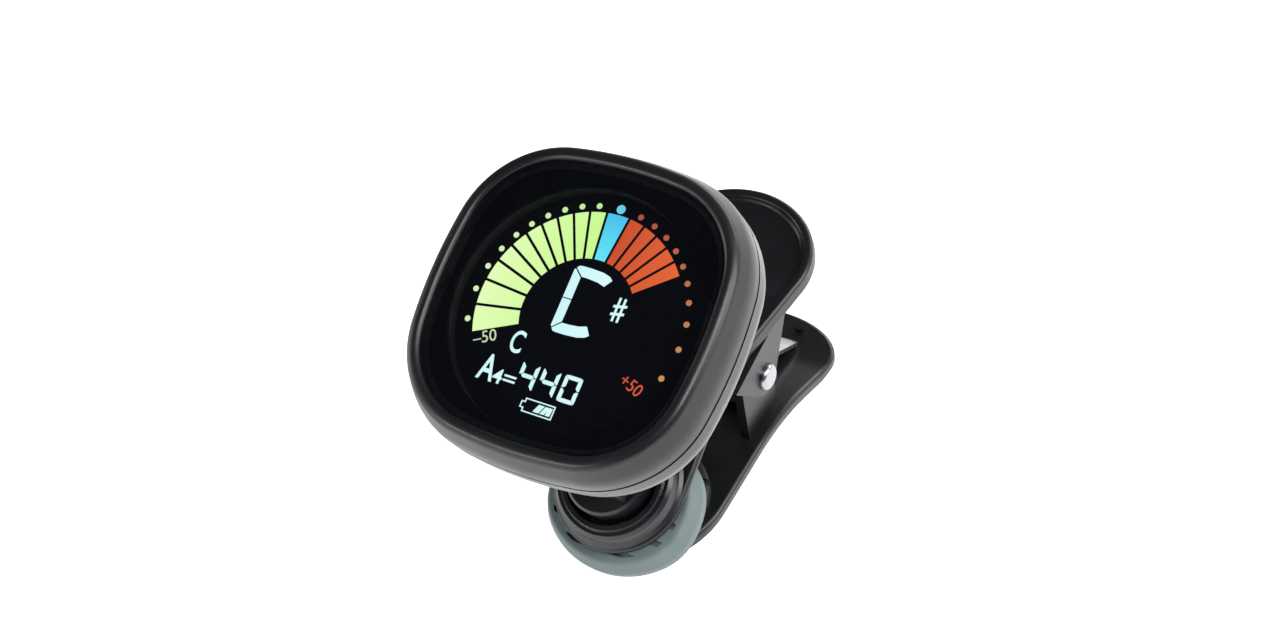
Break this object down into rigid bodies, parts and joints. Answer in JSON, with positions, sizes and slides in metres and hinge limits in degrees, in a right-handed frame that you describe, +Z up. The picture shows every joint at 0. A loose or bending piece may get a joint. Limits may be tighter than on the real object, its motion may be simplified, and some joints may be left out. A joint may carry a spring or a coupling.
{
  "type": "clip-on instrument tuner",
  "caption": "Clip-on tuner: a rounded square display head on a tilting, swivelling neck, carried by a sprung clip with padded jaws and a thumb paddle.",
  "frame": {"origin": "centre of the rear jaw pad's gripping face", "axes": "X along the clip's pivot pin, with the charging socket on the -X side; +Y from the jaws towards the clip's handles; +Z up, with the tuner lying on its rear arm"},
  "size_m": [0.0472, 0.0734, 0.0626],
  "materials": {
    "bezel_black": "soft satin",
    "case_black": "fine satin",
    "arm_black": "satin",
    "swivel_black": "satin",
    "pad_grey": "soft matt",
    "pad_black": "soft matt",
    "pin_steel": "polished",
    "spring_steel": "brushed",
    "washer_white": "satin",
    "screw_steel": "satin",
    "lens_clear": "polished",
    "mask_black": "gloss print",
    "frame_black": "matt",
    "lcd_dark": "gloss",
    "backlight_white": "satin",
    "board_green": "satin",
    "chip_black": "matt",
    "switch_black": "matt",
    "battery_foil": "satin",
    "sensor_brass": "satin",
    "socket_steel": "satin",
    "sign_green": "lit",
    "sign_blue": "lit",
    "sign_red": "lit",
    "sign_white": "lit",
    "button_black": "satin"
  },
  "bodies": {
    "rear_arm": {"rear_arm": "arm_black", "rear_pad": "pad_black", "pivot_pin": "pin_steel", "pin_retainer": "pin_steel", "clip_spring": "spring_steel"},
    "front_arm": {"front_arm": "arm_black", "front_pad": "pad_grey", "socket_ring": "swivel_black", "swivel_washer": "washer_white"},
    "swivel": {"swivel_hub": "swivel_black", "retaining_disc": "spring_steel", "swivel_screw": "screw_steel", "tilt_pin": "screw_steel"},
    "head": {"head_bracket": "swivel_black", "bracket_screws": "screw_steel", "front_bezel": "bezel_black", "rear_case": "case_black", "case_screws": "screw_steel", "display_lens": "lens_clear", "display_mask": "mask_black", "display_frame": "frame_black", "lcd_panel": "lcd_dark", "backlight": "backlight_white", "main_board": "board_green", "board_chips": "chip_black", "button_switches": "switch_black", "battery_cell": "battery_foil", "piezo_sensor": "sensor_brass", "usb_socket": "socket_steel"},
    "power_button": {"power_button": "button_black"},
    "mode_button": {"mode_button": "button_black"}
  },
  "joints": [
    {"name": "clip_open", "type": "hinge", "parent": "rear_arm", "child": "front_arm", "pos_m": [0, 0.0199, 0.0104], "axis": [-1, 0, 0], "range_deg": [0, 35], "stiffness_Nm_per_rad": 0.15, "springref_deg": -34.38, "deforming": ["clip_spring"]},
    {"name": "swivel_turn", "type": "hinge", "parent": "front_arm", "child": "swivel", "pos_m": [0, -0.00612, 0.00882], "axis": [0, -0.4848, 0.8746], "continuous": true},
    {"name": "head_tilt", "type": "hinge", "parent": "swivel", "child": "head", "pos_m": [0, -0.01291, 0.02107], "axis": [1, 0, 0], "range_deg": [-30, 60]},
    {"name": "power_press", "type": "slide", "parent": "head", "child": "power_button", "axis": [0, -0.8988, -0.4384], "range_m": [0, 0.00035], "stiffness_N_per_m": 2500, "springref_m": -0.00025},
    {"name": "mode_press", "type": "slide", "parent": "head", "child": "mode_button", "axis": [0, -0.8988, -0.4384], "range_m": [0, 0.00035], "stiffness_N_per_m": 2500, "springref_m": -0.00025}
  ]
}
